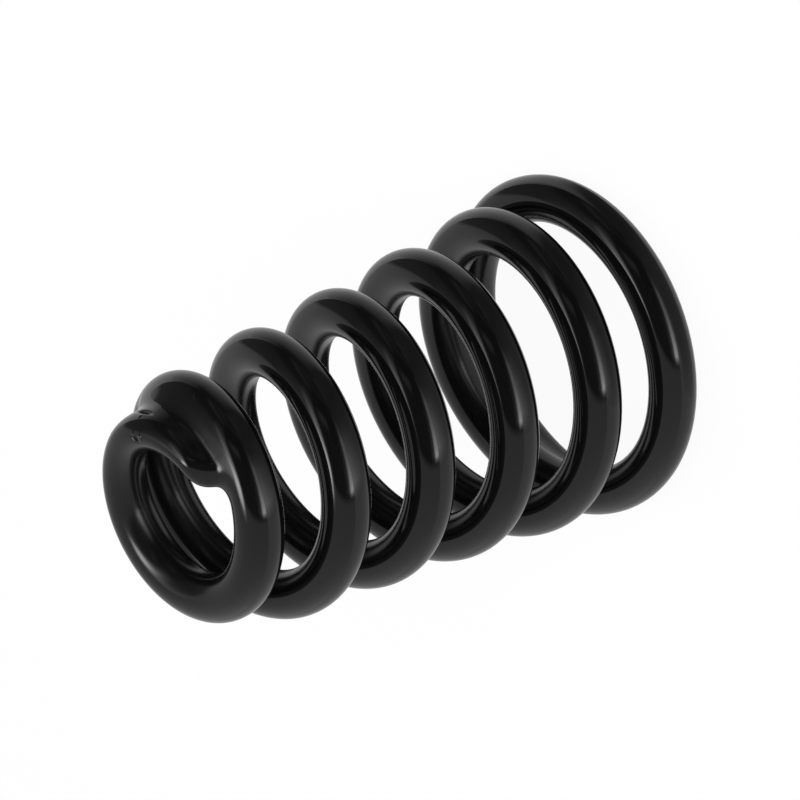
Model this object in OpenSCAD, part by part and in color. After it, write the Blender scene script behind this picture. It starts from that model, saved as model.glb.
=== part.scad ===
// Conical compression spring wound from one round steel wire, with a thick gloss coating.
// Millimetres. It stands on its large end: the origin is the centre of that seat, +Z runs up the coil axis.
// Places along the wire are counted in turns from the tip at the large end.

/* [Wire] */
// Diameter of the wire over its coating
wire_d = 9; // [7:0.1:10.5]
// Diameter of the wire's tapered tip at the large end
large_tip_d = 5.8; // [4:0.1:7]
// Diameter of the wire's tapered tip at the small end
small_tip_d = 5.9; // [4:0.1:7]
// Length of the taper at the large end, in turns
large_taper = 0.41; // [0.2:0.01:0.6]
// Length of the taper at the small end, in turns
small_taper = 0.54; // [0.2:0.01:0.7]

/* [Coil] */
// Number of turns from tip to tip
turns = 6.61; // [5:0.01:8]
// Rise of one open turn
pitch = 18.8; // [15:0.1:24]
// Hand of the winding: -1 is left, 1 is right
hand = -1; // [-1, 1]
// Mean diameter of the coil at the large end
large_mean_d = 61.3; // [52:0.1:75]
// Mean diameter that the cone of the body narrows to at its top
cone_mean_d = 40.8; // [36:0.1:48]
// Mean diameter of the necked turn at the small end
small_mean_d = 33.1; // [28:0.1:36]
// Curve of the cone: 1 is a straight cone, more is a flared one
flare = 1.73; // [1:0.01:2.5]
// Turns from the small tip at which the neck begins to widen
neck_start = 0.8; // [0.4:0.01:1]
// Turns over which the neck widens into the cone
neck_turns = 0.57; // [0.4:0.01:1.2]

/* [Closed ends] */
// Clearance between each tip and the turn that it lies against
tip_gap = 0.2; // [0.1:0.05:0.8]
// How late the pitch opens above the large end: more keeps the seat flat for longer
large_opening = 2.8; // [2.2:0.1:3.4]
// How late the pitch opens below the small end
small_opening = 2.05; // [1.8:0.05:3]

/* [Facets] */
// Rings of facets in each turn
rings_per_turn = 36; // [24:1:42]
// Sides of the wire's section
wire_sides = 20; // [12:4:20]
// Rings of facets in each rounded tip
tip_rings = 4; // [2:1:6]

/* [Hidden] */
wire_r = wire_d / 2;
large_tip_r = min(large_tip_d, wire_d) / 2;
small_tip_r = min(small_tip_d, wire_d) / 2;
large_r = large_mean_d / 2;
cone_r = cone_mean_d / 2;
small_r = small_mean_d / 2;
middle = turns / 2;
full_turn = 360;
quarter_turn = 90;
// step in turns for the direction of the wire
slope_step = 0.001;

// share of a change that is done at x, easing in and out between 0 and 1
function eased(x) = let (c = min(max(x, 0), 1)) c * c * (3 - 2 * c);

// radius of the wire u turns above the large tip
function wire_r_at(u) = wire_r
    - (wire_r - large_tip_r) * (1 - eased(u / large_taper))
    - (wire_r - small_tip_r) * (1 - eased((turns - u) / small_taper));

// radius of the coil, to the middle of the wire
function coil_r_at(u) = cone_r
    + (large_r - cone_r) * pow(max(1 - u / turns, 0), flare)
    - (cone_r - small_r) * (1 - eased((turns - u - neck_start) / neck_turns));

// rise that lays a tip against the next turn, which is wider or narrower by step_r
function closed_rise(tip_r, step_r) =
    sqrt(max(pow(tip_r + wire_r + tip_gap, 2) - pow(step_r, 2), pow(wire_r, 2))) - (wire_r - tip_r);

// turns from a tip to the full pitch, so that one turn from the tip the rise is the closed one
function closing_turns(opening, rise) = pow(pitch / (opening * rise), 1 / (opening - 1));

large_closing = closing_turns(large_opening, closed_rise(large_tip_r, coil_r_at(0) - coil_r_at(1)));
small_closing = closing_turns(small_opening, closed_rise(small_tip_r, coil_r_at(turns - 1) - coil_r_at(turns)));

// rise of the wire's seat side, v turns from a tip
function seat_rise(v, opening, closing) = v < closing
    ? pitch * closing / opening * pow(max(v, 0) / closing, opening)
    : pitch * closing / opening + pitch * (v - closing);

function large_rise(u) = seat_rise(u, large_opening, large_closing);
function small_rise(u) = seat_rise(turns - u, small_opening, small_closing);

height = large_rise(middle) + small_rise(middle) + wire_d;

// height of the middle of the wire: each tapered end keeps its outer side on the seat plane
function wire_z_at(u) = u < middle
    ? large_rise(u) + wire_r_at(u)
    : height - small_rise(u) - wire_r_at(u);

function wire_at(u) = let (a = hand * full_turn * u, r = coil_r_at(u))
    [r * cos(a), r * sin(a), wire_z_at(u)];

function unit(v) = v / norm(v);

// direction of the wire, and two directions across it
function along(u) = unit(wire_at(u + slope_step) - wire_at(u - slope_step));
function outward(u) = let (a = hand * full_turn * u, e = [cos(a), sin(a), 0], t = along(u))
    unit(e - (e * t) * t);

// one ring of points about the wire: place in turns, shift along the wire, radius
function ring(u, shift, r) = let (t = along(u), n = outward(u), b = cross(t, n), c = wire_at(u) + shift * t)
    [for (k = [0 : wire_sides - 1]) let (a = full_turn * k / wire_sides) c + r * (cos(a) * n + sin(a) * b)];

body_rings = ceil(turns * rings_per_turn);
tip_step = quarter_turn / tip_rings;

rings = concat(
    [for (j = [1 : tip_rings - 1]) ring(0, -large_tip_r * cos(j * tip_step), large_tip_r * sin(j * tip_step))],
    [for (i = [0 : body_rings]) let (u = turns * i / body_rings) ring(u, 0, wire_r_at(u))],
    [for (j = [tip_rings - 1 : -1 : 1])
        ring(turns, small_tip_r * cos(j * tip_step), small_tip_r * sin(j * tip_step))]
);

wire_points = concat(
    [for (each_ring = rings) each each_ring],
    [wire_at(0) - large_tip_r * along(0), wire_at(turns) + small_tip_r * along(turns)]
);

last_ring = (len(rings) - 1) * wire_sides;
large_pole = len(rings) * wire_sides;
small_pole = large_pole + 1;

function next_side(k) = (k + 1) % wire_sides;

wire_faces = concat(
    [for (k = [0 : wire_sides - 1]) [k, next_side(k), large_pole]],
    [for (i = [0 : len(rings) - 2], k = [0 : wire_sides - 1])
        let (p = i * wire_sides, q = p + wire_sides) [p + k, q + k, q + next_side(k)]],
    [for (i = [0 : len(rings) - 2], k = [0 : wire_sides - 1])
        let (p = i * wire_sides, q = p + wire_sides) [p + k, q + next_side(k), p + next_side(k)]],
    [for (k = [0 : wire_sides - 1]) [last_ring + next_side(k), last_ring + k, small_pole]]
);

module spring() {
    color([0.03, 0.03, 0.032])
        polyhedron(points = wire_points, faces = wire_faces, convexity = ceil(turns));
}

spring();
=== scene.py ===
import math

import bmesh
import bpy
import numpy as np
from mathutils import Matrix, Vector


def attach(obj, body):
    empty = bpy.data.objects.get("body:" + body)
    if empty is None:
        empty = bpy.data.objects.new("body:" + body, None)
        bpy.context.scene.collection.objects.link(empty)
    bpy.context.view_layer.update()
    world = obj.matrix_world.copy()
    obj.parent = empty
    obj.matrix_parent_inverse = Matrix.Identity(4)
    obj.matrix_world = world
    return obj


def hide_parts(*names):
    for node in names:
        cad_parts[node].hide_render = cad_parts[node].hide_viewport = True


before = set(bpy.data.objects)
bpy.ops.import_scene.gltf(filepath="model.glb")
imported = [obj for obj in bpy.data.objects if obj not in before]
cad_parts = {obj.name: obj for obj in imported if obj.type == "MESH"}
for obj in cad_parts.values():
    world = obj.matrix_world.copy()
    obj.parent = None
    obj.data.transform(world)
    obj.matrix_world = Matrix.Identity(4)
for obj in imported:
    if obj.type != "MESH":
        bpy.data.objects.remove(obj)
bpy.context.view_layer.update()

# Camera: a long lens a little under a metre away, rolled so that the
# spring lies across the picture with its small end towards the viewer.
lens = bpy.data.cameras.new("camera")
lens.lens, lens.sensor_width = 181.666, 36.0
lens.clip_start, lens.clip_end = 0.05, 50.0
camera = bpy.data.objects.new("camera", lens)
side, top, ahead = (
    Vector((0.053659, 0.649575, -0.758401)),
    Vector((-0.895641, -0.304516, -0.324188)),
    Vector((0.441530, -0.696651, -0.565446)),
)
turned = Matrix((side, top, -ahead)).transposed().to_4x4()
stands_at = (-0.333677, 0.519917, 0.471020)
camera.matrix_world = Matrix.Translation(stands_at) @ turned
bpy.context.scene.collection.objects.link(camera)
bpy.context.scene.camera = camera
bpy.context.scene.view_settings.view_transform = "Standard"

# Spring: one length of round spring steel, wound cold to the left hand from
# the wide seat up to the narrow one, both ends closed with rolled-down tips.
# It is dipped in a thick black gloss coat that runs together where tips touch.
wire_sizes = {
    "Wire Diameter": 0.009,
    "Turns": 6.61,
    "Pitch": 0.0188,
    "Large Mean Diameter": 0.0613,
    "Cone Mean Diameter": 0.0408,
    "Small Mean Diameter": 0.0331,
    "Flare": 1.73,
    "Neck Start": 0.8,
    "Neck Turns": 0.57,
    "Large Tip Diameter": 0.0058,
    "Small Tip Diameter": 0.0059,
    "Small Tip Setback": 0.0014,
    "Small Tip Rounding": 0.0048,
    "Large Taper": 0.41,
    "Small Taper": 0.54,
    "Large Opening": 2.8,
    "Small Opening": 2.05,
    "Large Closing": 1.10986,
    "Small Closing": 1.50855,
    "Free Height": 0.1053283,
    "Ring Crowding": 1.5,
}
wire_counts = {"Rings": 900, "Tip Rings": 24, "Wire Sides": 72}

winding = bpy.data.node_groups.new("wound_wire", "GeometryNodeTree")
winding.interface.new_socket("Geometry", in_out="INPUT", socket_type="NodeSocketGeometry")
winding.interface.new_socket("Geometry", in_out="OUTPUT", socket_type="NodeSocketGeometry")
sockets = {}
for name in wire_sizes:
    sockets[name] = winding.interface.new_socket(name, in_out="INPUT", socket_type="NodeSocketFloat")
for name in wire_counts:
    sockets[name] = winding.interface.new_socket(name, in_out="INPUT", socket_type="NodeSocketInt")
sockets["Coat"] = winding.interface.new_socket("Coat", in_out="INPUT", socket_type="NodeSocketMaterial")
given = winding.nodes.new("NodeGroupInput").outputs


def put(socket, value):
    if isinstance(value, bpy.types.NodeSocket):
        socket.id_data.links.new(value, socket)
    else:
        socket.default_value = value


def sum_in(tree, operation, *terms):
    node = tree.nodes.new("ShaderNodeMath")
    node.operation = operation
    for socket, term in zip(node.inputs, terms):
        put(socket, term)
    return node.outputs[0]


def sum_of(operation, *terms):
    return sum_in(winding, operation, *terms)


def eased(value, start, end, low, high):
    node = winding.nodes.new("ShaderNodeMapRange")
    node.interpolation_type = "SMOOTHSTEP"
    for socket, term in zip(node.inputs, (value, start, end, low, high)):
        put(socket, term)
    return node.outputs[0]


def half(value):
    return sum_of("MULTIPLY", value, 0.5)


# Turn number of each ring, crowded towards the small tip, and the two caps.
index = winding.nodes.new("GeometryNodeInputIndex").outputs[0]
last = sum_of("SUBTRACT", given["Rings"], 1)
body = sum_of("SUBTRACT", last, sum_of("MULTIPLY", given["Tip Rings"], 2))
along = sum_of("DIVIDE", sum_of("SUBTRACT", index, given["Tip Rings"]), body)
along = sum_of("MINIMUM", sum_of("MAXIMUM", along, 0.0), 1.0)
left = sum_of("POWER", sum_of("SUBTRACT", 1.0, along), given["Ring Crowding"])
tip_turn = sum_of("MULTIPLY", half(given["Small Mean Diameter"]), 2 * math.pi)
round_turn = sum_of("DIVIDE", given["Small Tip Rounding"], tip_turn)
tip_turn = sum_of("DIVIDE", given["Small Tip Setback"], tip_turn)
body_turns = sum_of("SUBTRACT", given["Turns"], tip_turn)
to_small = sum_of("ADD", tip_turn, sum_of("MULTIPLY", body_turns, left))
turn = sum_of("SUBTRACT", given["Turns"], to_small)
large_cap = sum_of("DIVIDE", sum_of("SUBTRACT", given["Tip Rings"], index), given["Tip Rings"])
large_cap = sum_of("MULTIPLY", sum_of("MAXIMUM", large_cap, 0.0), math.pi / 2)
small_cap = sum_of("SUBTRACT", index, sum_of("SUBTRACT", last, given["Tip Rings"]))
small_cap = sum_of("DIVIDE", sum_of("MAXIMUM", small_cap, 0.0), given["Tip Rings"])
small_cap = sum_of("MULTIPLY", small_cap, math.pi / 2)

# Wire radius along the wire, with both tips rolled down.
full = half(given["Wire Diameter"])
large_loss = sum_of("SUBTRACT", full, half(given["Large Tip Diameter"]))
small_loss = sum_of("SUBTRACT", full, half(given["Small Tip Diameter"]))
thin_large = eased(turn, 0.0, given["Large Taper"], large_loss, 0.0)
thin_small = eased(to_small, 0.0, given["Small Taper"], small_loss, 0.0)
wire_r = sum_of("SUBTRACT", sum_of("SUBTRACT", full, thin_large), thin_small)

# Coil radius: a flared cone, necked in at the small end.
cone_r = half(given["Cone Mean Diameter"])
flared = sum_of("POWER", sum_of("DIVIDE", to_small, given["Turns"]), given["Flare"])
flare_r = sum_of("MULTIPLY", sum_of("SUBTRACT", half(given["Large Mean Diameter"]), cone_r), flared)
neck_end = sum_of("ADD", given["Neck Start"], given["Neck Turns"])
neck_in = sum_of("SUBTRACT", cone_r, half(given["Small Mean Diameter"]))
neck_r = eased(to_small, given["Neck Start"], neck_end, neck_in, 0.0)
coil_r = sum_of("SUBTRACT", sum_of("ADD", cone_r, flare_r), neck_r)


# Height: constant pitch between two ends that ease down to a flat seat.
def climb(turns, opening, closing):
    eases = sum_of("POWER", sum_of("DIVIDE", sum_of("MINIMUM", turns, closing), closing), opening)
    eases = sum_of("MULTIPLY", eases, sum_of("DIVIDE", closing, opening))
    steady = sum_of("MAXIMUM", sum_of("SUBTRACT", turns, closing), 0.0)
    return sum_of("MULTIPLY", given["Pitch"], sum_of("ADD", eases, steady))


from_large = sum_of("ADD", climb(turn, given["Large Opening"], given["Large Closing"]), wire_r)
from_small = sum_of("ADD", climb(to_small, given["Small Opening"], given["Small Closing"]), wire_r)
lower_half = sum_of("LESS_THAN", turn, half(given["Turns"]))
upper_half = sum_of("SUBTRACT", 1.0, lower_half)
height = sum_of(
    "ADD",
    sum_of("MULTIPLY", lower_half, from_large),
    sum_of("MULTIPLY", upper_half, sum_of("SUBTRACT", given["Free Height"], from_small)),
)

# The caps carry on round the coil by one tip radius.
lap = sum_of("DIVIDE", wire_r, sum_of("MULTIPLY", coil_r, 2 * math.pi))
beyond = sum_of(
    "SUBTRACT",
    sum_of("MULTIPLY", round_turn, sum_of("SINE", small_cap)),
    sum_of("MULTIPLY", lap, sum_of("SINE", large_cap)),
)
whole_turn = sum_of("ADD", turn, beyond)
cap_share = sum_of("MULTIPLY", sum_of("COSINE", small_cap), sum_of("COSINE", large_cap))
ring_r = sum_of("MULTIPLY", wire_r, cap_share)
angle = sum_of("MULTIPLY", whole_turn, -2 * math.pi)
place = winding.nodes.new("ShaderNodeCombineXYZ")
put(place.inputs["X"], sum_of("MULTIPLY", coil_r, sum_of("COSINE", angle)))
put(place.inputs["Y"], sum_of("MULTIPLY", coil_r, sum_of("SINE", angle)))
put(place.inputs["Z"], height)

line = winding.nodes.new("GeometryNodeMeshLine")
put(line.inputs["Count"], given["Rings"])
placed = winding.nodes.new("GeometryNodeSetPosition")
put(placed.inputs["Geometry"], line.outputs[0])
put(placed.inputs["Position"], place.outputs[0])
marked = placed.outputs[0]
for name, value in (("turn", whole_turn), ("ring_radius", ring_r), ("wire_radius", wire_r)):
    mark = winding.nodes.new("GeometryNodeStoreNamedAttribute")
    mark.data_type, mark.domain = "FLOAT", "POINT"
    put(mark.inputs["Geometry"], marked)
    put(mark.inputs["Name"], name)
    put(mark.inputs["Value"], value)
    marked = mark.outputs[0]
path = winding.nodes.new("GeometryNodeMeshToCurve")
put(path.inputs["Mesh"], marked)
upright = winding.nodes.new("GeometryNodeSetCurveNormal")
upright.mode = "Z_UP"
put(upright.inputs["Curve"], path.outputs[0])
section = winding.nodes.new("GeometryNodeCurvePrimitiveCircle")
put(section.inputs["Resolution"], given["Wire Sides"])
section.inputs["Radius"].default_value = 1.0
radius = winding.nodes.new("GeometryNodeInputNamedAttribute")
radius.data_type = "FLOAT"
radius.inputs["Name"].default_value = "ring_radius"
swept = winding.nodes.new("GeometryNodeCurveToMesh")
put(swept.inputs["Curve"], upright.outputs[0])
put(swept.inputs["Profile Curve"], section.outputs[0])
put(swept.inputs["Scale"], radius.outputs[0])
closed = winding.nodes.new("GeometryNodeMergeByDistance")
put(closed.inputs["Geometry"], swept.outputs[0])
closed.inputs["Distance"].default_value = 1e-6
smooth = winding.nodes.new("GeometryNodeSetShadeSmooth")
put(smooth.inputs["Geometry"], closed.outputs[0])
realized = winding.nodes.new("GeometryNodeRealizeInstances")
put(realized.inputs["Geometry"], smooth.outputs[0])
coated = winding.nodes.new("GeometryNodeSetMaterial")
put(coated.inputs["Geometry"], realized.outputs[0])
put(coated.inputs["Material"], given["Coat"])
put(winding.nodes.new("NodeGroupOutput").inputs[0], coated.outputs[0])

coat = bpy.data.materials.new("black_gloss_coat")
coat.use_nodes = True
nodes = coat.node_tree.nodes
gloss = nodes["Principled BSDF"]
gloss.inputs["IOR"].default_value = 1.5
where = nodes.new("ShaderNodeTexCoord").outputs["Object"]


def shade(kind, mode=None, **values):
    node = nodes.new(kind)
    if mode:
        node.operation = mode
    for name, value in values.items():
        number = name[1:]
        put(node.inputs[int(number) if number.isdigit() else name.replace("_", " ")], value)
    return node


# The coat lies smooth outside the coil and dries duller on its inner side.
level_place = shade("ShaderNodeVectorMath", "MULTIPLY", i0=where, i1=(1, 1, 0)).outputs[0]
outwards = shade("ShaderNodeVectorMath", "NORMALIZE", i0=level_place).outputs[0]
facing = nodes.new("ShaderNodeNewGeometry").outputs["Normal"]
outer = shade("ShaderNodeVectorMath", "DOT_PRODUCT", i0=facing, i1=outwards).outputs["Value"]
dull = shade(
    "ShaderNodeMapRange", Value=outer, From_Min=-0.1, From_Max=-0.65, To_Min=0.055, To_Max=0.24
).outputs[0]
cloud = shade("ShaderNodeTexNoise", Vector=where, Scale=45.0, Detail=2.0).outputs[0]
uneven = shade(
    "ShaderNodeMapRange", Value=cloud, From_Min=0.3, From_Max=0.7, To_Min=-0.012, To_Max=0.012
).outputs[0]
finish = shade("ShaderNodeMath", "ADD", i0=dull, i1=uneven).outputs[0]

# The bottom of a hollow stays dull.
hollow_rough = 0.6
hollow_share = shade("ShaderNodeAttribute")
hollow_share.attribute_name = "hollow"
hollow_share = hollow_share.outputs["Fac"]
finish = shade("ShaderNodeMath", "MULTIPLY_ADD", i0=hollow_share, i1=hollow_rough, i2=finish).outputs[0]
put(gloss.inputs["Roughness"], finish)

# A few grains of dust are caught in the coat, greyer than it.
coat_black, dust_grey = (0.0030, 0.0030, 0.0031, 1), (0.03, 0.029, 0.026, 1)
grains = shade("ShaderNodeTexVoronoi", Vector=where, Scale=210.0)
rare = shade("ShaderNodeSeparateColor", Color=grains.outputs["Color"]).outputs[0]
size = shade(
    "ShaderNodeMapRange", Value=rare, From_Min=0.92, From_Max=1.0, To_Min=0.0, To_Max=0.024
).outputs[0]
grain = shade("ShaderNodeMath", "LESS_THAN", i0=grains.outputs["Distance"], i1=size).outputs[0]
tint = shade("ShaderNodeMixRGB", Fac=grain, Color1=coat_black, Color2=dust_grey)
put(gloss.inputs["Base Color"], tint.outputs[0])

# Faint orange peel, as bump.
peel = shade("ShaderNodeTexNoise", Vector=where, Scale=330.0, Detail=1.0)
bump = shade("ShaderNodeBump", Strength=1.0, Distance=0.000003, Height=peel.outputs[0])
put(gloss.inputs["Normal"], bump.outputs[0])

# The tree runs twice: once for the swept wire, and once as a thin thread of
# many rings that gives the wire's exact centre line.
blank = bpy.data.objects.new("blank", bpy.data.meshes.new("blank"))
bpy.context.scene.collection.objects.link(blank)
wind = blank.modifiers.new("wound_wire", "NODES")
wind.node_group = winding


def wound(settings):
    for name, value in settings.items():
        wind[sockets[name].identifier] = value
    blank.update_tag()
    bpy.context.view_layer.update()
    graph = bpy.context.evaluated_depsgraph_get()
    return bpy.data.meshes.new_from_object(blank.evaluated_get(graph))


mesh = wound({**wire_sizes, **wire_counts, "Coat": coat})
thread = wound({"Rings": 8000, "Wire Sides": 3, "Ring Crowding": 1.0})
blank.modifiers.remove(wind)
bpy.data.objects.remove(blank)

mm_per_m = 1000


def read(source, kind):
    values = np.empty(len(source.vertices))
    source.attributes[kind].data.foreach_get("value", values)
    return values


def spots_of(source):
    values = np.empty(len(source.vertices) * 3)
    source.vertices.foreach_get("co", values)
    return values.reshape(-1, 3) * mm_per_m


# The coat runs together between the small tip and the turn that it lies on, so
# the last turn and a half gets one drawn skin: wire, web, pits and runs alike.
# Its lengths are in mm.
bare = spots_of(mesh)
turn_of = read(mesh, "turn")
thread_turn, owner_of = np.unique(np.round(read(thread, "turn"), 7), return_inverse=True)
share = np.bincount(owner_of)
ring_middles = [np.bincount(owner_of, values) / share for values in spots_of(thread).T]
middle = np.stack(ring_middles, axis=1)[::-1]
thick = (np.bincount(owner_of, read(thread, "wire_radius") * mm_per_m) / share)[::-1]
back = wire_sizes["Turns"] - thread_turn[::-1]
bpy.data.meshes.remove(thread)

# Centre line from the tip backwards, as a row of balls that fill the wire. Where
# skin and swept wire overlap, the end of each sinks a little into the other.
ball_step = 0.25
skin_end, wire_end = 1.50, 1.44
sink_depth, sink_turns = 0.04, 0.03
walked = np.concatenate([[0], np.cumsum(np.linalg.norm(np.diff(middle, axis=0), axis=1))])
rounding = wire_sizes["Small Tip Rounding"] * mm_per_m
tip_r = np.interp(rounding, walked, thick)
focal = rounding**2 - tip_r**2
spots = np.arange(rounding - focal / rounding, np.interp(skin_end, back, walked), ball_step)
spine = np.stack([np.interp(spots, walked, middle[:, axis]) for axis in range(3)], axis=1)
spine_turn = np.interp(spots, walked, back)
spine_r = np.interp(spots, walked, thick)
in_tip = spots < rounding
spine_r[in_tip] = tip_r * np.sqrt(1 - (rounding - spots[in_tip]) ** 2 / focal)
spine_r -= sink_depth * np.clip((spine_turn - (skin_end - sink_turns)) / sink_turns, 0, 1)

# The last quarter turn is drawn thinner, inwards and down on to the next turn.
tip_thin, tip_inward, tip_down, tip_length = 0.63, 2.55, 0.8, 0.26
drawing = np.clip(spine_turn / tip_length, 0, 1)
drawing = 1 - drawing * drawing * (3 - 2 * drawing)
spine_r = spine_r - tip_thin * np.where(in_tip, spine_r / tip_r, 1) * drawing
outward = spine * [1, 1, 0]
outward /= np.linalg.norm(outward, axis=1)[:, None]
spine = spine - (tip_inward * drawing)[:, None] * outward - (tip_down * drawing)[:, None] * [0, 0, 1]

# The end is cropped aslant, and the coat rounds the cut's edge.
crop_at, crop_share, crop_round = 5.9, 0.93, 2.2
crop_facing = np.array([0.15, 0.745, 0.65])
crop_facing /= np.linalg.norm(crop_facing)
crop_ball = int(np.searchsorted(spots, crop_at))
crop_level = crop_facing @ spine[crop_ball] + spine_r[crop_ball] * crop_share

# Three runs of balls, by turns back from the tip: the body behind the tip, the
# tip, and the next turn that it lies on.
body_from, tip_to, next_from = np.searchsorted(spine_turn, [0.46, 0.50, 0.78]).tolist()
body_span = (body_from, len(spine) - 1)
tip_span = (0, tip_to)
next_span = (next_from, len(spine) - 1)

# How far the coat bridges, by turns back from the tip, and the gap it stops at.
web_turns = [-0.1, 0.0, 0.05, 0.10, 0.16, 0.24, 0.31, 2.0]
web_reach = [4.3, 4.3, 5.2, 6.4, 7.4, 7.4, 0.5, 0.5]
web_limit = 4


def web_of(tip_gap, next_gap, at_turn):
    reach = np.interp(at_turn, web_turns, web_reach)
    blend = np.maximum(reach - np.abs(tip_gap - next_gap), 0) / reach
    return np.where(np.minimum(tip_gap, next_gap) < web_limit, blend * blend * reach / 4, 0)


ball_window = 7


def ball_gap(points, near, span):
    """Distance to the row of balls close to a known one, and the turn there."""
    window = np.clip(near[:, None] + np.arange(-ball_window, ball_window + 1), *span)
    gaps = np.linalg.norm(points[:, None] - spine[window], axis=2) - spine_r[window]
    best = np.clip(gaps.argmin(axis=1), 1, 2 * ball_window - 1)
    rows = np.arange(len(points))
    best_ball = window[rows, best]
    before, here, after = gaps[rows, best - 1], gaps[rows, best], gaps[rows, best + 1]
    bend = np.maximum(before - 2 * here + after, 1e-7)
    shift = np.clip((before - after) / (2 * bend), -1, 1)
    inside = (best_ball > span[0]) & (best_ball < span[1])
    gap = np.where(inside, here - (before - after) * shift / 4, gaps.min(axis=1))
    ball_here = best_ball + np.where(inside, shift, 0)
    return gap, np.interp(ball_here, np.arange(len(spine)), spine_turn)


def nearest_ball(points, span, block=3000):
    held = np.arange(span[0], span[1] + 1)
    found = []
    for start in range(0, len(points), block):
        some = points[start : start + block]
        gaps = np.linalg.norm(some[:, None] - spine[None, held], axis=2) - spine_r[held]
        found.append(held[gaps.argmin(axis=1)])
    return np.concatenate(found)


def cropped(tip_gap, points):
    over = points @ crop_facing - crop_level
    rounded = np.maximum(crop_round - np.abs(tip_gap - over), 0) ** 2 / (4 * crop_round)
    return np.maximum(tip_gap, over) + rounded


def bridged_level(points, balls):
    body_gap, _ = ball_gap(points, balls[0], body_span)
    tip_gap, at_turn = ball_gap(points, balls[1], tip_span)
    next_gap, _ = ball_gap(points, balls[2], next_span)
    tip_gap = cropped(tip_gap, points)
    return np.minimum(body_gap, np.minimum(tip_gap, next_gap)) - web_of(tip_gap, next_gap, at_turn)


nudge = 0.01


def slope_of(level_of, points, balls):
    rises = [
        level_of(points + step, balls) - level_of(points - step, balls)
        for step in nudge * np.eye(3)
    ]
    return np.stack(rises, axis=1) / (2 * nudge)


def balls_near(points):
    return [nearest_ball(points, span) for span in (body_span, tip_span, next_span)]


# Marks in the coat: a hollow where the bridging coat ends in the crease, a
# bead beside it, a crater between two more beads, and a nib.
# Each has a place, the way it runs, half its length and width, and a depth.
marks = np.array(
    [
        (-17.95, -7.95, 101.05, -0.27, 0.957, 0.10, 1.9, 0.40, 0.8),
        (-17.74, -7.59, 102.32, 0, 1, 0, 0.3, 0.3, -0.15),
        (-14.55, -6.28, 104.80, 0.3, 1, 0, 0.7, 0.4, 0.55),
        (-15.13, -6.95, 104.76, 0, 1, 0, 0.4, 0.4, -0.13),
        (-15.33, -4.90, 104.70, 0, 1, 0, 0.4, 0.4, -0.15),
        (-22.37, 1.42, 96.63, 0, 1, 0, 0.3, 0.3, -0.10),
    ]
)
mark_place, mark_along = marks[:, :3], marks[:, 3:6]
mark_balls = balls_near(mark_place)
mark_rounds = 4
for _ in range(mark_rounds):
    mark_facing = slope_of(bridged_level, mark_place, mark_balls)
    mark_facing /= np.linalg.norm(mark_facing, axis=1)[:, None]
    mark_place = mark_place - bridged_level(mark_place, mark_balls)[:, None] * mark_facing
mark_along = mark_along - (mark_along * mark_facing).sum(axis=1)[:, None] * mark_facing
mark_along /= np.linalg.norm(mark_along, axis=1)[:, None]
mark_reach = 3


def mark_depth(points):
    """How far the marks move the coat inwards at each point."""
    depth = np.zeros_like(points)
    forms = zip(mark_place, mark_facing, mark_along, marks[:, 6:])
    for place, facing, along, (length, width, deep) in forms:
        away = points - place
        up, on = away @ facing, away @ along
        aside = (away**2).sum(axis=1) - up**2 - on**2
        form = np.exp(-((on / length) ** 2) - aside / width**2)
        depth = depth + (deep * np.where(np.abs(up) < mark_reach, form, 0))[:, None] * facing
    return depth


def coat_level(points, balls):
    return bridged_level(points + mark_depth(points), balls)


# Coarse grid of the coat's level, filled ball by ball.
cell, grid_margin, far_level = 0.36, 2.4, 50.0
grid_low = (spine - spine_r[:, None]).min(axis=0) - grid_margin * cell
grid_high = (spine + spine_r[:, None]).max(axis=0) + 2 * cell
grid_shape = np.ceil((grid_high - grid_low) / cell).astype(int) + 1


def filled(span, margin, stride):
    level = np.full(grid_shape, far_level, np.float32)
    owner = np.zeros(grid_shape, np.int32)
    for ball in range(span[0], span[1] + 1, stride):
        half_box = spine_r[ball] + margin
        low = np.floor((spine[ball] - half_box - grid_low) / cell).astype(int)
        high = np.ceil((spine[ball] + half_box - grid_low) / cell).astype(int) + 1
        low, high = np.maximum(low, 0), np.minimum(high, grid_shape)
        x, y, z = [
            (grid_low[k] + cell * np.arange(low[k], high[k]) - spine[ball][k]).astype(np.float32)
            for k in range(3)
        ]
        squares = (x * x)[:, None, None] + (y * y)[None, :, None] + (z * z)[None, None, :]
        gap = np.sqrt(squares) - np.float32(spine_r[ball])
        part = tuple(slice(low[k], high[k]) for k in range(3))
        closer = gap < level[part]
        level[part][closer] = gap[closer]
        owner[part][closer] = ball
    return level, owner


body_grid, _ = filled(body_span, margin=1.2, stride=1)
tip_grid, tip_owner = filled(tip_span, margin=7.0, stride=2)
next_grid, _ = filled(next_span, margin=7.0, stride=2)
x, y, z = [grid_low[k] + cell * np.arange(grid_shape[k]) for k in range(3)]
nodes_at = np.stack(np.meshgrid(x, y, z, indexing="ij"), axis=-1)
tip_grid = cropped(tip_grid, nodes_at)
level = np.minimum(body_grid, np.minimum(tip_grid, next_grid))
level = level - web_of(tip_grid, next_grid, spine_turn[tip_owner])

# One point in each grid cell that the skin passes through, joined in fours.
inside = level < 0
corner = [(i, j, k) for i in (0, 1) for j in (0, 1) for k in (0, 1)]


def shifted(grid, by):
    return grid[tuple(slice(by[k], grid.shape[k] - 1 + by[k]) for k in range(3))]


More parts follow.
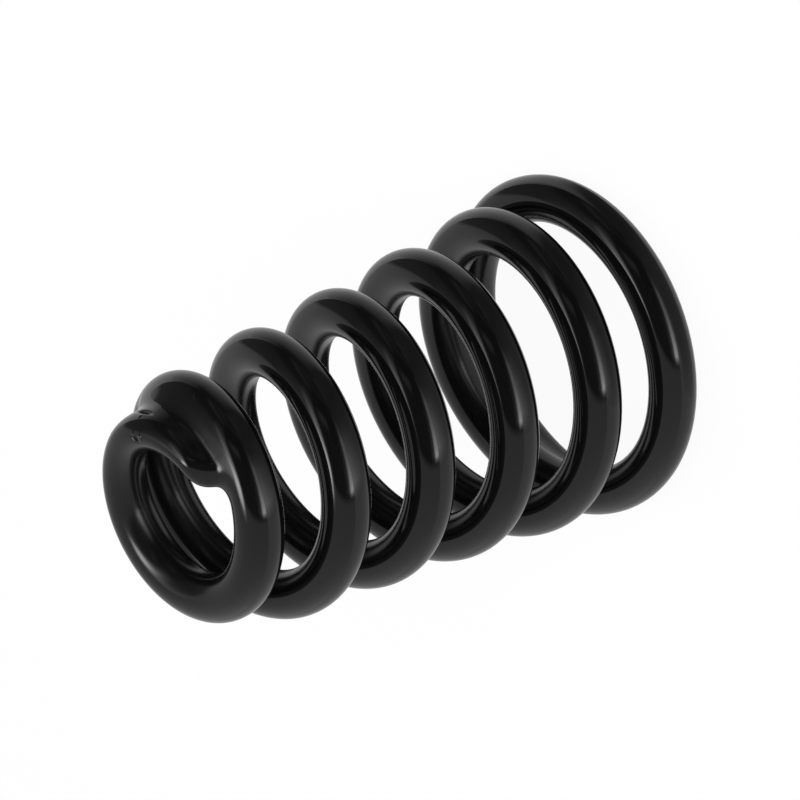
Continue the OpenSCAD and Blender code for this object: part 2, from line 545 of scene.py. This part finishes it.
count = sum(shifted(inside, c).astype(np.int8) for c in corner)
cells = np.argwhere((count > 0) & (count < 8))
number = np.full(count.shape, -1)
number[tuple(cells.T)] = np.arange(len(cells))
total, hits = np.zeros((len(cells), 3)), np.zeros(len(cells))
for one in corner:
    for axis in range(3):
        if one[axis] == 0:
            two = tuple(1 if k == axis else one[k] for k in range(3))
            start, end = level[tuple((cells + one).T)], level[tuple((cells + two).T)]
            cut = (start < 0) != (end < 0)
            share_of = np.where(cut, start / np.where(cut, start - end, 1), 0)
            place = cells + one + share_of[:, None] * (np.array(two) - one)
            total += np.where(cut[:, None], place, 0)
            hits += cut
skin = grid_low + cell * total / hits[:, None]
quads = []
for axis in range(3):
    one, two = (axis + 1) % 3, (axis + 2) % 3
    here = inside[tuple(slice(0, -1) if k == axis else slice(1, -1) for k in range(3))]
    there = inside[tuple(slice(1, None) if k == axis else slice(1, -1) for k in range(3))]
    for leaving in (True, False):
        edge = np.argwhere((here != there) & (here == leaving))
        edge[:, one] += 1
        edge[:, two] += 1
        ring = []
        way_round = ((-1, -1), (0, -1), (0, 0), (-1, 0))
        for p, q in way_round if leaving else (way_round[0], *way_round[:0:-1]):
            step = np.zeros(3, int)
            step[one], step[two] = p, q
            ring.append(number[tuple((edge + step).T)])
        quads.append(np.stack(ring, axis=1))
quads = np.concatenate(quads)

# The points settle evenly on the exact skin: each is drawn towards the middle
# of its neighbours, and then on to the skin.
settle_rounds, draw_share, least_steep = 3, 0.6, 0.3
balls = balls_near(skin)
sides = np.concatenate([quads[:, [k, (k + 1) % 4]] for k in range(4)])
ends = np.bincount(sides.ravel(), minlength=len(skin))


def settled(points, balls):
    slope = slope_of(bridged_level, points, balls)
    steep = np.maximum((slope**2).sum(axis=1), least_steep)
    return points - (bridged_level(points, balls) / steep)[:, None] * slope


def neighbour_sum(values):
    one, two = sides.T
    return np.bincount(one, values[two], len(values)) + np.bincount(two, values[one], len(values))


for _ in range(settle_rounds):
    summed = np.stack([neighbour_sum(skin[:, k]) for k in range(3)], axis=1)
    skin = settled((1 - draw_share) * skin + draw_share * summed / ends[:, None], balls)
skin = settled(skin, balls)

# Round each mark the skin is cut finer twice, and then takes the mark's form.
rough = bpy.data.meshes.new("rough_skin")
rough.from_pydata(skin.tolist(), [], quads.tolist())
fine = bmesh.new()
fine.from_mesh(rough)
bpy.data.meshes.remove(rough)
for spare in (1.3, 0.7):
    places = [(Vector(place), length + spare) for place, length in zip(mark_place, marks[:, 6])]
    near = [
        face
        for face in fine.faces
        if any((face.calc_center_median() - place).length < reach for place, reach in places)
    ]
    edges = list(dict.fromkeys(edge for face in near for edge in face.edges))
    bmesh.ops.subdivide_edges(fine, edges=edges, cuts=1, use_grid_fill=True)
fine.verts.index_update()
skin = np.array([vert.co for vert in fine.verts])
skin_faces = [tuple(vert.index + 1 for vert in face.verts) for face in fine.faces]
fine.free()
balls = balls_near(skin)
skin = settled(skin, balls)
pressed = mark_depth(skin)
skin = skin - pressed
skin_facing = slope_of(coat_level, skin, balls)
skin_facing /= np.linalg.norm(skin_facing, axis=1)[:, None]
dull_depth = 0.5
depth = (pressed * slope_of(bridged_level, skin + pressed, balls)).sum(axis=1)
hollow = np.clip(depth / dull_depth, 0, 1)

# The swept wire stops inside the drawn skin, with a closed end.
bare_facing = np.empty(len(bare) * 3)
mesh.vertex_normals.foreach_get("vector", bare_facing)
bare_facing = bare_facing.reshape(-1, 3)
faces = np.empty(len(mesh.loops), int)
mesh.loops.foreach_get("vertex_index", faces)
starts, counts = np.empty(len(mesh.polygons), int), np.empty(len(mesh.polygons), int)
mesh.polygons.foreach_get("loop_start", starts)
mesh.polygons.foreach_get("loop_total", counts)
wire_stop = wire_sizes["Turns"] - wire_end
held = turn_of <= wire_stop
last_ring = np.nonzero(held & (turn_of > turn_of[held].max() - 1e-5))[0]
renumber = np.cumsum(held) - 1
wire_faces = [
    tuple(renumber[faces[s : s + c]])
    for s, c in zip(starts, counts)
    if held[faces[s : s + c]].all()
]
sink = sink_depth * np.clip((turn_of - (wire_stop - sink_turns)) / sink_turns, 0, 1)
bare = (bare - sink[:, None] * bare_facing)[held]
open_edges = {}
for face in wire_faces:
    for k in range(len(face)):
        one, two = face[k], face[(k + 1) % len(face)]
        if (two, one) in open_edges:
            del open_edges[(two, one)]
        else:
            open_edges[(one, two)] = True
hub = len(bare)
wire_faces += [(two, one, hub) for one, two in open_edges]
hub_place = bare[renumber[last_ring]].mean(axis=0)

# At the large end the coat fills the crease between the tip and the next turn
# with a fillet on each side, which thins out as the turns draw apart.
fillet_turn = np.linspace(0.012, 0.20, 60)
fillet_half = np.interp(fillet_turn, [0.012, 0.03, 0.11, 0.20], [0.4, 2.6, 2.6, 0.12])
fillet_steps, halvings = 9, 50


def wire_place(turn):
    at = wire_sizes["Turns"] - turn
    place = np.stack([np.interp(at, back, middle[:, axis]) for axis in range(3)], axis=1)
    return place, np.interp(at, back, thick)


tip_middle, tip_radius = wire_place(fillet_turn)
next_middle, next_radius = wire_place(fillet_turn + 1)
across = next_middle - tip_middle
apart = np.linalg.norm(across, axis=1)
across /= apart[:, None]
onward = np.cross(tip_middle * [1, 1, 0], [0, 0, 1])
onward /= np.linalg.norm(onward, axis=1)[:, None]
upright = np.cross(onward, across)


def fillet_radius(reach, radius):
    """Radius of the arc that touches a wire whose middle is this far from the fillet's."""
    return (reach**2 + fillet_half**2 - radius**2) / (2 * (radius - fillet_half))


near_end, far_end = np.zeros_like(apart), apart.copy()
for _ in range(halvings):
    foot = (near_end + far_end) / 2
    short = fillet_radius(foot, tip_radius) < fillet_radius(apart - foot, next_radius)
    near_end, far_end = np.where(short, foot, near_end), np.where(short, far_end, foot)
curve = fillet_radius(foot, tip_radius)
rise_of = fillet_half + curve
from_tip = np.arctan2(-rise_of, -foot)
to_next = np.arctan2(-rise_of, apart - foot)
fillet, fillet_facing = [], []
for side, steps in ((1, range(fillet_steps)), (-1, reversed(range(fillet_steps)))):
    for step in steps:
        angle = from_tip + (to_next - from_tip) * step / (fillet_steps - 1)
        sine, cosine = np.sin(angle), np.cos(angle)
        along_it, above_it = foot + curve * cosine, side * (rise_of + curve * sine)
        fillet.append(tip_middle + along_it[:, None] * across + above_it[:, None] * upright)
        fillet_facing.append(-cosine[:, None] * across - (side * sine)[:, None] * upright)
fillet, fillet_facing = np.stack(fillet, axis=1), np.stack(fillet_facing, axis=1)
loop = 2 * fillet_steps
first = len(bare) + 1 + len(skin)
last_section = len(fillet_turn) - 1


def fillet_point(k, j):
    return first + k * loop + j % loop


fillet_faces = [
    tuple(fillet_point(*at) for at in ((k, j), (k, j + 1), (k + 1, j + 1), (k + 1, j)))
    for k in range(last_section)
    for j in range(loop)
]
fillet_faces.append(tuple(fillet_point(0, j) for j in reversed(range(loop))))
fillet_faces.append(tuple(fillet_point(last_section, j) for j in range(loop)))

# The fillet's faces point outwards.
one, two, three = fillet[5, 3], fillet[5, 4], fillet[6, 4]
if np.cross(two - one, three - two) @ fillet_facing[5, 4] < 0:
    fillet_faces = [face[::-1] for face in fillet_faces]

# Wire, skin and fillet make one mesh.
fillet, fillet_facing = fillet.reshape(-1, 3), fillet_facing.reshape(-1, 3)
points = np.concatenate([bare, [hub_place], skin, fillet])
normals = np.concatenate([bare_facing[held], [[0, 0, 1]], skin_facing, fillet_facing])
hollow = np.concatenate([np.zeros(hub + 1), hollow, np.zeros(len(fillet))])
skin_faces = [tuple(hub + n for n in face) for face in skin_faces]
drawn = bpy.data.meshes.new("spring_coil")
drawn.from_pydata((points / mm_per_m).tolist(), [], wire_faces + skin_faces + fillet_faces)
drawn.materials.append(coat)
drawn.attributes.new("hollow", "FLOAT", "POINT").data.foreach_set("value", hollow)
drawn.polygons.foreach_set("use_smooth", np.ones(len(drawn.polygons), bool))
drawn.normals_split_custom_set_from_vertices(normals.tolist())
drawn.update()
bpy.data.meshes.remove(mesh)
spring = bpy.data.objects.new("spring_coil", drawn)
bpy.context.scene.collection.objects.link(spring)
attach(spring, "root")
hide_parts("spring")

# Floor: a plain white studio floor, wide enough to fill the frame. It glows white
# to the camera and dimmer in the coat, and it keeps the spring's shadow.
floor_radius, floor_sides, floor_below = 6, 64, 0.0002
floor_angles = [2 * math.pi * k / floor_sides for k in range(floor_sides)]
floor_mesh = bpy.data.meshes.new("floor")
floor_mesh.from_pydata(
    [(floor_radius * math.cos(a), floor_radius * math.sin(a), -floor_below) for a in floor_angles],
    [],
    [list(range(floor_sides))],
)
floor = bpy.data.objects.new("floor", floor_mesh)
bpy.context.scene.collection.objects.link(floor)
mirrored_glow, glow_share = 0.65, 0.94
white = bpy.data.materials.new("white_floor")
white.use_nodes = True
paint = white.node_tree
paint.nodes.remove(paint.nodes["Principled BSDF"])
matt = paint.nodes.new("ShaderNodeBsdfDiffuse")
matt.inputs["Color"].default_value = (0.9, 0.9, 0.9, 1)
glow = paint.nodes.new("ShaderNodeEmission")
rays = paint.nodes.new("ShaderNodeLightPath").outputs
mirrored = sum_in(paint, "MAXIMUM", rays["Is Glossy Ray"], rays["Is Transmission Ray"])
seen = sum_in(paint, "MULTIPLY_ADD", mirrored, mirrored_glow, rays["Is Camera Ray"])
put(glow.inputs["Strength"], seen)
both = paint.nodes.new("ShaderNodeMixShader")
for socket, value in zip(both.inputs, (glow_share, matt.outputs[0], glow.outputs[0])):
    put(socket, value)
put(paint.nodes["Material Output"].inputs["Surface"], both.outputs[0])
floor_mesh.materials.append(white)

# Graded card: a glowing sheet on the floor beside the spring, out of the camera's sight
# and seen only in the coat, as a painted reflection, white at its edges and black between, so that this
# side of the coils stays dark.
card_near, card_far = 0.0345, 6.0
card_angles = [math.radians(84 + 4 * k) for k in range(43)]
card_spokes = len(card_angles)


def fan(radius):
    return [(radius * math.cos(angle), radius * math.sin(angle), 0.0) for angle in card_angles]


card_mesh = bpy.data.meshes.new("graded_card")
card_mesh.from_pydata(
    fan(card_near) + fan(card_far),
    [],
    [(k, k + card_spokes, k + card_spokes + 1, k + 1) for k in range(card_spokes - 1)],
)
card = bpy.data.objects.new("graded_card", card_mesh)
bpy.context.scene.collection.objects.link(card)
grades = bpy.data.materials.new("painted_reflection_card")
grades.use_nodes = True
reflection_nodes = grades.node_tree
reflection_nodes.nodes.remove(reflection_nodes.nodes["Principled BSDF"])


def card_sum(operation, *terms):
    return sum_in(reflection_nodes, operation, *terms)


def ramp_in(tree, value, stops):
    """Straight lines between stops, each a place and the level there."""
    low, high = stops[0][0], stops[-1][0]
    most = max(level for _, level in stops)
    spread = tree.nodes.new("ShaderNodeMapRange")
    for name, term in (("Value", value), ("From Min", low), ("From Max", high)):
        put(spread.inputs[name], term)
    node = tree.nodes.new("ShaderNodeFloatCurve")
    put(node.inputs["Value"], spread.outputs[0])
    curve = node.mapping.curves[0]
    points = [((at - low) / (high - low), level / most) for at, level in stops]
    curve.points[0].location, curve.points[1].location = points[0], points[-1]
    for point in points[1:-1]:
        curve.points.new(*point)
    for point in curve.points:
        point.handle_type = "VECTOR"
    node.mapping.update()
    return sum_in(tree, "MULTIPLY", node.outputs[0], most)


# Glow levels of the painted reflection by bearing in degrees, close to the spring and far from it.
spot = reflection_nodes.nodes.new("ShaderNodeSeparateXYZ")
put(spot.inputs[0], reflection_nodes.nodes.new("ShaderNodeTexCoord").outputs["Object"])
spot_x, spot_y = spot.outputs["X"], spot.outputs["Y"]
bearing = card_sum("MULTIPLY", card_sum("ARCTAN2", spot_y, spot_x), 180 / math.pi)
behind = card_sum("LESS_THAN", bearing, 0.0)
bearing = card_sum("ADD", bearing, card_sum("MULTIPLY", behind, 360.0))
span = card_sum("ADD", card_sum("POWER", spot_x, 2.0), card_sum("POWER", spot_y, 2.0))
far = card_sum("LOGARITHM", card_sum("SQRT", span), 10.0)
near_grade = ramp_in(reflection_nodes, bearing, [
    (84, 0.6), (97, 0.42), (112, 0.31), (127, 0.25), (142, 0.2), (157, 0.11), (172, 0.09),
    (182, 0.12), (195, 0.55), (210, 0.7), (252, 0.75),
])
far_grade = ramp_in(reflection_nodes, bearing, [
    (84, 0.7), (90, 0.85), (97, 1.0), (112, 0.7), (127, 0.42), (136, 0.25), (142, 0.16),
    (157, 0.11), (164, 0.15), (176, 0.15), (184, 0.06), (217, 0.06), (232, 0.3), (252, 0.55),
])
far_dimming = ramp_in(reflection_nodes, bearing, [
    (84, 0.4), (93, 0.8), (97, 1.0), (112, 0.95), (127, 0.8), (142, 0.5), (252, 0.5),
])
far_strength = 2.0
far_grade = card_sum("MULTIPLY", card_sum("MULTIPLY", far_grade, far_dimming), far_strength)
near_span, far_span = 0.06, 0.5
away = reflection_nodes.nodes.new("ShaderNodeMapRange")
put(away.inputs["Value"], far)
put(away.inputs["From Min"], math.log10(near_span))
put(away.inputs["From Max"], math.log10(far_span))
far_share = away.outputs[0]
near_part = card_sum("MULTIPLY", near_grade, card_sum("SUBTRACT", 1.0, far_share))
blend = card_sum("ADD", near_part, card_sum("MULTIPLY", far_grade, far_share))
# The card glows with the blended level, and only the coat's reflection shows it: painted reflection.
reflection_glow = reflection_nodes.nodes.new("ShaderNodeEmission")
put(reflection_glow.inputs["Strength"], blend)
put(reflection_nodes.nodes["Material Output"].inputs["Surface"], reflection_glow.outputs[0])
card_mesh.materials.append(grades)
card.visible_camera = card.visible_diffuse = card.visible_shadow = card.visible_transmission = False

# Light: a dim room, one soft box overhead, one low at the side and a white
# wall on the far side, all soft and neutral.
world = bpy.data.worlds.new("studio")
world.use_nodes = True
bpy.context.scene.world = world
studio = world.node_tree
sky = studio.nodes["Background"]
sight = studio.nodes.new("ShaderNodeTexCoord").outputs["Generated"]


def world_sum(operation, *terms):
    return sum_in(studio, operation, *terms)


def ramp(value, stops):
    return ramp_in(studio, value, stops)


def towards(direction):
    node = studio.nodes.new("ShaderNodeVectorMath")
    node.operation = "DOT_PRODUCT"
    put(node.inputs[0], sight)
    put(node.inputs[1], direction)
    return node.outputs["Value"]


rise = towards((-0.9974, 0.0715, -0.0095))
fore = towards((0.0480, 0.7569, 0.6518))
aside = towards((0.0538, 0.6496, -0.7584))
elevation = world_sum("MULTIPLY", world_sum("ARCSINE", rise), 180 / math.pi)
azimuth = world_sum("MULTIPLY", world_sum("ARCTAN2", aside, fore), 180 / math.pi)

# White wall below the line, dim room above it.
wall = ramp(elevation, [
    (-90, 0.82), (-65, 0.68), (-45, 0.55), (-25, 0.48), (-2.5, 0.43), (3, 0.0), (90, 0.0),
])
room = world_sum(
    "MULTIPLY",
    ramp(azimuth, [
        (-180, 0.10), (-140, 0.12), (-110, 0.14), (-88, 0.13), (-65, 0.07), (-40, 0.04),
        (-15, 0.04), (5, 0.055), (30, 0.09), (110, 0.13), (180, 0.10),
    ]),
    ramp(elevation, [
        (-90, 0), (-2.5, 0), (3, 1), (20, 0.85), (34, 0.7), (42, 0.3), (90, 0.3),
    ]),
)
side_box = world_sum(
    "MULTIPLY",
    ramp(azimuth, [
        (-180, 0), (6, 0), (12, 0.035), (17, 0.07), (21, 0.14), (23.5, 0.34), (26.5, 0.85),
        (30, 1), (38, 0.95), (44, 0.75), (48, 0.5), (56, 0.27), (64, 0.2), (72, 0.16),
        (110, 0.08), (150, 0), (180, 0),
    ]),
    ramp(elevation, [
        (-90, 0), (1.5, 0), (4, 1.4), (7, 5.2), (14, 3.6), (20, 2.9), (26, 2.1), (32, 1.6),
        (38, 1.35), (44, 1.15), (50, 0.5), (57, 0.22), (66, 0.05), (90, 0),
    ]),
)

# The box overhead leans as it rises.
lean_from, lean_most, lean_rate = 5, 26, 0.37
above = world_sum("MAXIMUM", world_sum("SUBTRACT", elevation, lean_from), 0)
lean = world_sum("MULTIPLY", world_sum("MINIMUM", above, lean_most), lean_rate)
over_box = world_sum(
    "MULTIPLY",
    ramp(world_sum("ADD", azimuth, lean), [
        (-180, 0), (-100, 0), (-84, 0.05), (-76, 0.1), (-72, 0.17), (-68, 0.3), (-65, 0.8),
        (-62, 1), (-54, 1), (-52, 0.75), (-50, 0.4), (-48, 0.15), (-45, 0.03), (-41, 0),
        (180, 0),
    ]),
    ramp(elevation, [
        (-90, 0), (-12, 0), (-8, 1.5), (-6, 5), (0, 8), (4, 7.5), (8, 5.5), (12, 3), (16, 2),
        (20, 1.5), (24, 1.1), (28, 0.77), (32, 0.5), (40, 0.2), (54, 0.0), (90, 0),
    ]),
)

# Narrow glints and faint strips high up.
glint_slant = -0.25
slant = world_sum("ADD", elevation, world_sum("MULTIPLY", azimuth, glint_slant))
glints = world_sum(
    "MULTIPLY",
    ramp(azimuth, [
        (-180, 0), (-54, 0), (-44, 1), (-28, 1), (-18, 0), (180, 0),
    ]),
    ramp(slant, [
        (-135, 0), (44, 0), (51, 0.22), (55, 0.22), (61, 0), (135, 0),
    ]),
)
side_strip = world_sum(
    "MULTIPLY",
    ramp(azimuth, [
        (-180, 0), (-140, 0), (-120, 1), (-68, 1), (-54, 0), (180, 0),
    ]),
    ramp(elevation, [
        (-90, 0), (56, 0), (60, 0.1), (65, 0.1), (70, 0), (90, 0),
    ]),
)
top_strip = ramp(elevation, [
    (-90, 0), (68, 0), (73, 0.05), (80, 0.05), (85, 0.02), (90, 0),
])
strips = world_sum("ADD", side_strip, top_strip)
light = world_sum("ADD", world_sum("ADD", wall, room), world_sum("ADD", side_box, over_box))
light = world_sum("ADD", light, world_sum("ADD", glints, strips))
put(sky.inputs["Strength"], light)
sky.inputs["Color"].default_value = (1, 1, 1, 1)

# A large soft lamp behind the camera brings the floor to white.
fill = bpy.data.lights.new("floor_light", "AREA")
fill.shape, fill.size = "DISK", 1.3
fill.energy = 34
lamp = bpy.data.objects.new("floor_light", fill)
lamp.location = (-0.75, 1.15, 1.30)
lamp_aim = Vector((0, 0, 0.03))
lamp.rotation_euler = (lamp_aim - lamp.location).to_track_quat("-Z", "Y").to_euler()
lamp.visible_glossy = False
lamp.visible_camera = False
bpy.context.scene.collection.objects.link(lamp)
